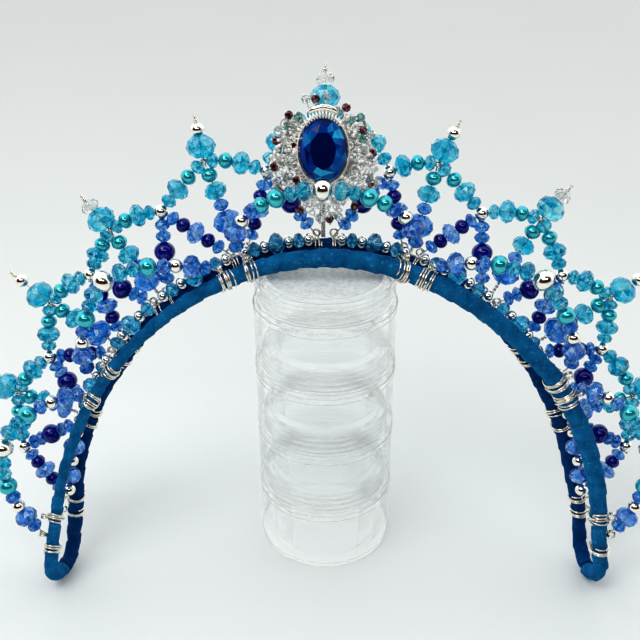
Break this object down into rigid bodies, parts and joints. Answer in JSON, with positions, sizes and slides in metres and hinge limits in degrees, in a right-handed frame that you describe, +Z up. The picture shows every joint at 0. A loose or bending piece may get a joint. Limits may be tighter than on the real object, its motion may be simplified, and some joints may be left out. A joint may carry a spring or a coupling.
{
  "type": "ballet headpiece on a stack of clear jars",
  "caption": "Beaded crown on twin cloth-bound arched bands, with bead arches, a pointed bead fan and an oval stone in a pierced setting, leaning on a stack of clear jars",
  "frame": {"origin": "middle of the bounding box at the floor, under the jars and the feet of the bands", "axes": "+X is the right-hand side seen from the front, +Y points to the back, +Z is up; the crown leans back"},
  "size_m": [0.2, 0.0486, 0.1432],
  "materials": {
    "band_cloth": "wrapped woven tape",
    "teal_crystal": "faceted beads",
    "blue_crystal": "faceted beads",
    "sapphire_stone": "cut and polished",
    "silver_wire": "bright wire and cast silver",
    "clear_plastic": "clear moulded"
  },
  "bodies": {
    "root": {"centre_string_1_left": "blue_crystal", "centre_string_1_right": "blue_crystal", "centre_string_2_left": "blue_crystal", "centre_string_2_right": "blue_crystal", "centre_string_3_left": "blue_crystal", "centre_string_3_right": "blue_crystal", "centre_string_4_left": "blue_crystal", "centre_string_4_right": "blue_crystal", "edge_string_0": "teal_crystal", "edge_string_1_left": "teal_crystal", "edge_string_1_right": "teal_crystal", "edge_string_2_left": "teal_crystal", "edge_string_2_right": "teal_crystal", "edge_string_3_left": "teal_crystal", "edge_string_3_right": "teal_crystal", "edge_string_4_left": "teal_crystal", "edge_string_4_right": "teal_crystal", "fan_string_1_left": "blue_crystal", "fan_string_1_right": "blue_crystal", "fan_string_2_left": "blue_crystal", "fan_string_2_right": "blue_crystal", "fan_string_3_left": "blue_crystal", "fan_string_3_right": "blue_crystal", "fan_string_4_left": "blue_crystal", "fan_string_4_right": "blue_crystal", "fan_string_5_left": "blue_crystal", "fan_string_5_right": "blue_crystal", "filigree": "silver_wire", "front_arch_0": "teal_crystal", "front_arch_1_left": "teal_crystal", "front_arch_1_right": "teal_crystal", "front_arch_2_left": "teal_crystal", "front_arch_2_right": "teal_crystal", "front_band": "band_cloth", "gem": "sapphire_stone", "gem_bar": "silver_wire", "gem_setting": "silver_wire", "jar_1": "clear_plastic", "jar_2": "clear_plastic", "jar_3": "clear_plastic", "jar_4": "clear_plastic", "jar_lid": "clear_plastic", "point_0": "teal_crystal", "point_1_left": "teal_crystal", "point_1_right": "teal_crystal", "point_2_left": "teal_crystal", "point_2_right": "teal_crystal", "point_3_left": "teal_crystal", "point_3_right": "teal_crystal", "point_4_left": "teal_crystal", "point_4_right": "teal_crystal", "rear_band": "band_cloth", "spacer_chain_left": "silver_wire", "spacer_chain_right": "silver_wire", "stem": "silver_wire"}
  },
  "joints": []
}
